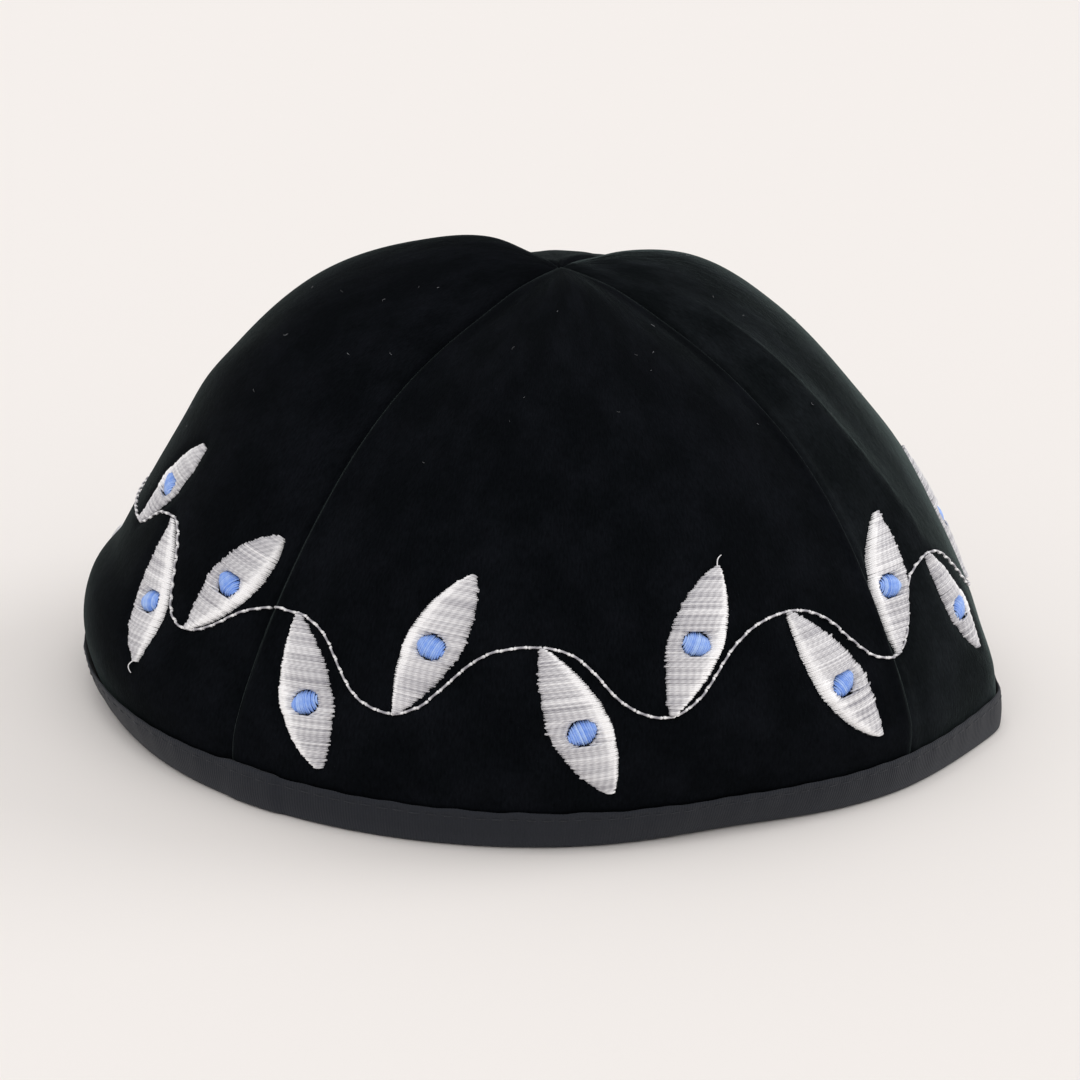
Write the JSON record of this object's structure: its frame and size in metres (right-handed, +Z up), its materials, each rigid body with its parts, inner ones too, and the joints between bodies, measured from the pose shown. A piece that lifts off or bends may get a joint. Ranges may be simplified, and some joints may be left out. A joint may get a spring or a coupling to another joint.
{
  "type": "kippah skullcap",
  "caption": "Four-panel black velvet kippah with a charcoal bound rim and an embroidered band of silver leaves with blue dots.",
  "frame": {"origin": "on the resting surface, under the middle of the cap's outline", "axes": "+Z up through the crown, -Y towards the front panel, +X towards the right panel"},
  "size_m": [0.175, 0.1588, 0.0865],
  "materials": {
    "black_velvet": "soft pile velvet with grazing sheen",
    "charcoal_tape": "woven binding tape, low sheen",
    "silver_thread": "satin stitch rayon thread",
    "blue_thread": "satin stitch rayon thread"
  },
  "bodies": {
    "root": {"panel_front": "black_velvet", "panel_right": "black_velvet", "panel_back": "black_velvet", "panel_left": "black_velvet", "rim_binding": "charcoal_tape", "leaf_01": "silver_thread", "dot_01": "blue_thread", "leaf_02": "silver_thread", "dot_02": "blue_thread", "leaf_03": "silver_thread", "dot_03": "blue_thread", "leaf_04": "silver_thread", "dot_04": "blue_thread", "leaf_05": "silver_thread", "dot_05": "blue_thread", "leaf_06": "silver_thread", "dot_06": "blue_thread", "leaf_07": "silver_thread", "dot_07": "blue_thread", "leaf_08": "silver_thread", "dot_08": "blue_thread", "leaf_09": "silver_thread", "dot_09": "blue_thread", "leaf_10": "silver_thread", "dot_10": "blue_thread", "leaf_11": "silver_thread", "dot_11": "blue_thread", "leaf_12": "silver_thread", "dot_12": "blue_thread", "leaf_13": "silver_thread", "dot_13": "blue_thread", "leaf_14": "silver_thread", "dot_14": "blue_thread", "leaf_15": "silver_thread", "dot_15": "blue_thread", "leaf_16": "silver_thread", "dot_16": "blue_thread", "leaf_17": "silver_thread", "dot_17": "blue_thread", "leaf_18": "silver_thread", "dot_18": "blue_thread", "leaf_19": "silver_thread", "dot_19": "blue_thread", "leaf_20": "silver_thread", "dot_20": "blue_thread"}
  },
  "joints": []
}
